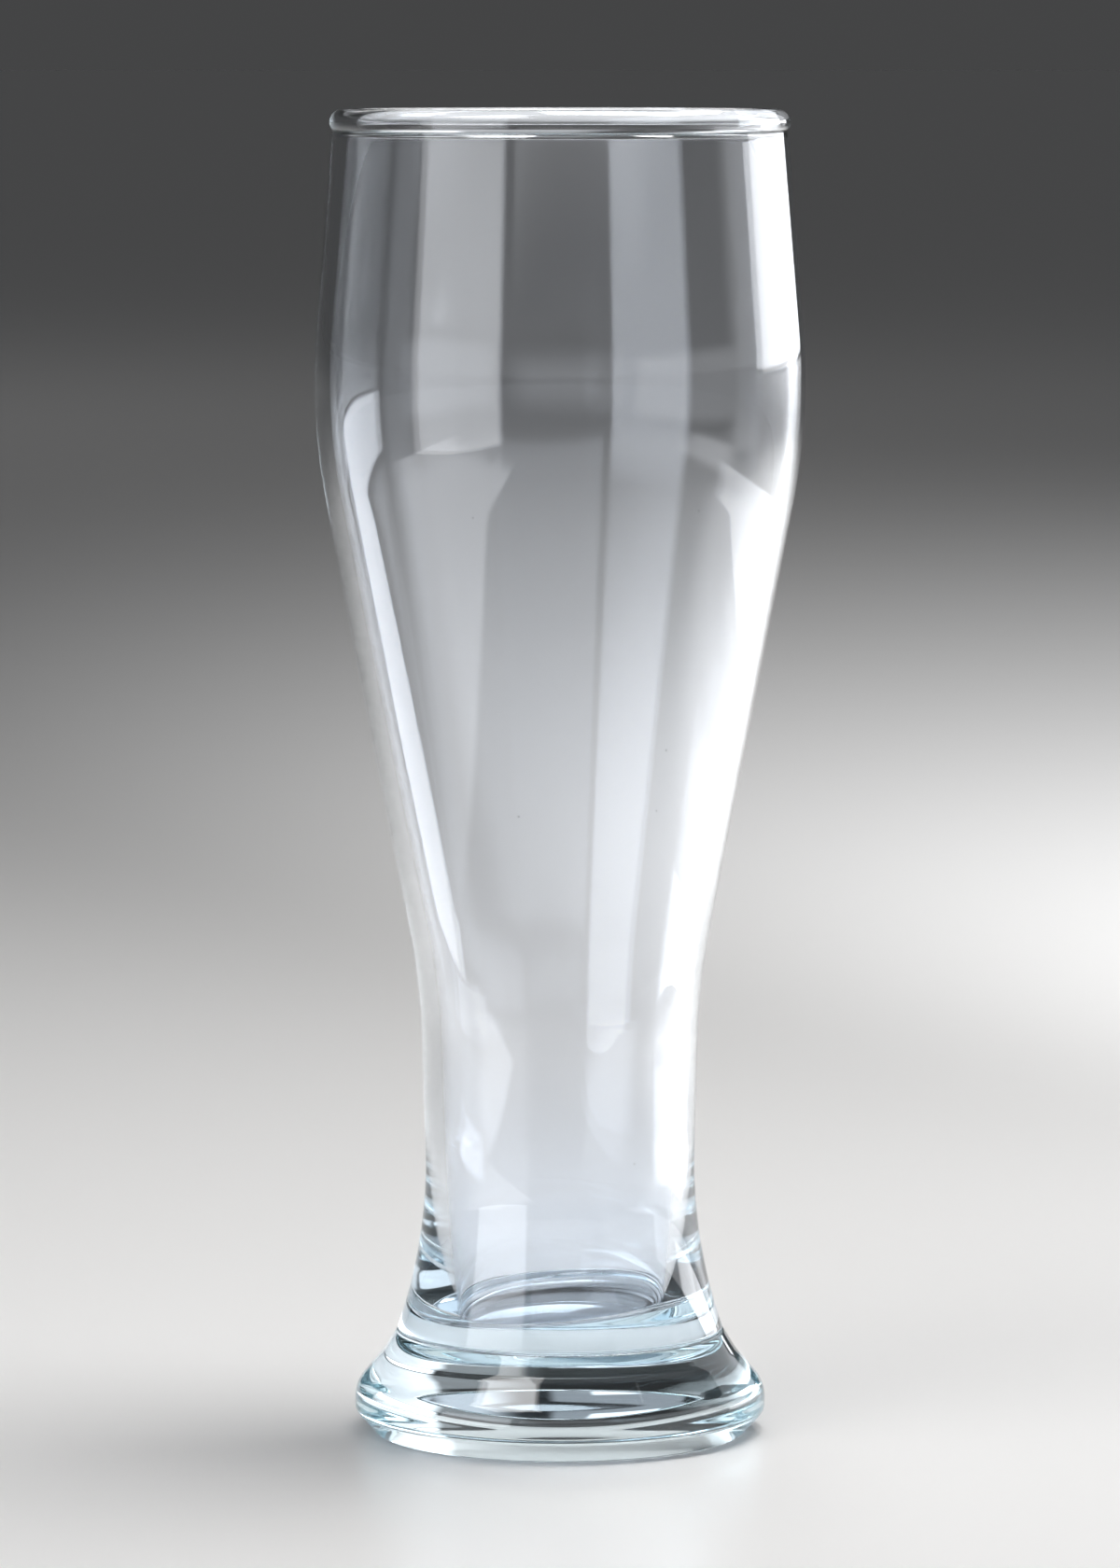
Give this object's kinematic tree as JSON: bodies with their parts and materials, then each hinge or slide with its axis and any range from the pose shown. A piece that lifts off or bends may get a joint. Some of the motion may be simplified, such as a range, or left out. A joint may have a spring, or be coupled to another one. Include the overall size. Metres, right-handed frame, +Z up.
{
  "type": "beer glass",
  "caption": "Tall clear wheat-beer glass with a wide shoulder, a narrow waist, a beaded rim and a heavy flared foot; holds a drink.",
  "frame": {"origin": "centre of the ring that the glass stands on, on the table's surface", "axes": "+Z up along the glass's axis, +X to the right and -Y towards the viewer as in the picture; the inner floor rises towards +X and a little towards the viewer"},
  "size_m": [0.0812, 0.081, 0.22],
  "materials": {
    "bowl_glass": "clear blown glass, fire-polished, with a faint blue-green tint where it is thick",
    "foot_glass": "clear pressed glass, fire-polished, with a faint blue-green tint"
  },
  "bodies": {
    "root": {"bowl": "bowl_glass", "foot": "foot_glass"}
  },
  "joints": []
}
